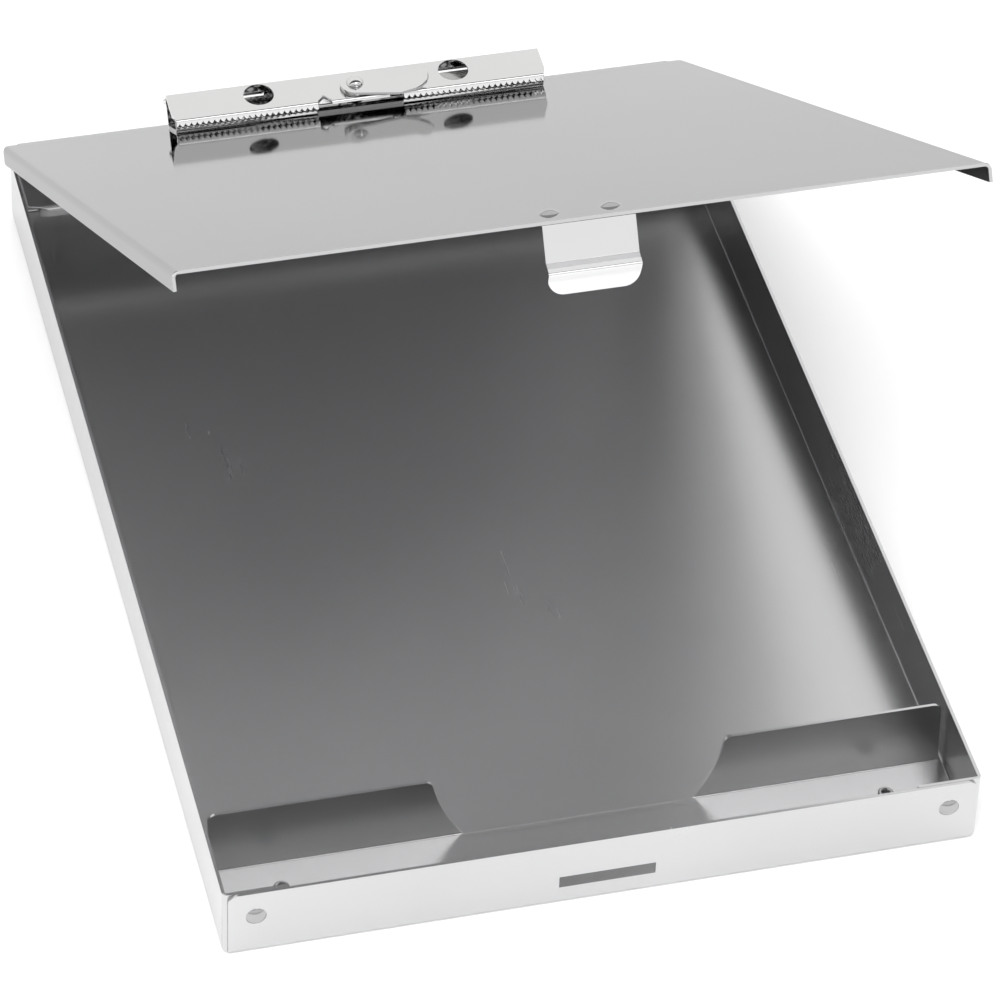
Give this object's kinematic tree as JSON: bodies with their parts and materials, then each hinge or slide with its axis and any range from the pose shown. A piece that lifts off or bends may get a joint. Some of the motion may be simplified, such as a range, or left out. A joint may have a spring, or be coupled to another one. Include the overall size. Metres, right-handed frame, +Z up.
{
  "type": "storage clipboard",
  "caption": "Sheet aluminium form holder: shallow tray with a hinged writing lid, toothed lever clip, form stop with thumb notch, and snap latch.",
  "frame": {"origin": "centre of the tray's flat underside", "axes": "+Z up out of the tray, +Y towards the lid hinge, +X to the right when seen from the latch side"},
  "size_m": [0.24, 0.3599, 0.2193],
  "materials": {
    "aluminium": "satin, lightly brushed, as folded",
    "lid_aluminium": "bright satin, mirrors softly at a low angle",
    "rivets": "plain",
    "hinge": "satin",
    "hinge_pin": "drawn wire",
    "spring_steel": "bright rolled, plated",
    "nickel_plate": "bright nickel plate",
    "spring_wire": "music wire"
  },
  "bodies": {
    "tray": {"tray_pan": "aluminium", "hinge_rail": "aluminium", "form_retainer": "aluminium", "retainer_rivets": "rivets", "corner_rivets": "rivets", "tray_leaf": "hinge", "tray_leaf_rivets": "rivets", "hinge_pin": "hinge_pin"},
    "lid": {"lid_panel": "lid_aluminium", "lid_leaf": "hinge", "latch_flange": "spring_steel", "latch_rivets": "rivets", "clip_base": "nickel_plate", "clip_base_rivets": "rivets", "clip_pin": "hinge_pin", "clip_spring": "spring_wire"},
    "jaw": {"clip_cover": "nickel_plate", "lever_washer": "nickel_plate"},
    "lever": {"clip_lever": "nickel_plate", "lever_rivet": "nickel_plate", "lever_cam": "nickel_plate"},
    "latch": {"latch_tongue": "spring_steel"}
  },
  "joints": [
    {"name": "lid_hinge", "type": "hinge", "parent": "tray", "child": "lid", "pos_m": [0, 0.1794, 0.0256], "axis": [-1, 0, 0], "range_deg": [-32.93, 147.43]},
    {"name": "jaw_hinge", "type": "hinge", "parent": "lid", "child": "jaw", "pos_m": [0, 0.17675, 0.04058], "axis": [-1, 0, 0], "range_deg": [0, 13], "deforming": ["clip_spring"]},
    {"name": "lever_swing", "type": "hinge", "parent": "jaw", "child": "lever", "pos_m": [-0.001, 0.16367, 0.04736], "axis": [0, 0.0685, -0.9976], "range_deg": [0, 78]},
    {"name": "latch_flex", "type": "hinge", "parent": "lid", "child": "latch", "pos_m": [0, -0.11618, 0.21536], "axis": [1, 0, 0], "range_deg": [-5, 5], "stiffness_Nm_per_rad": 4}
  ],
  "couplings": [
    {"joint": "jaw_hinge", "follows": "lever_swing", "ratio": 0.16667}
  ]
}
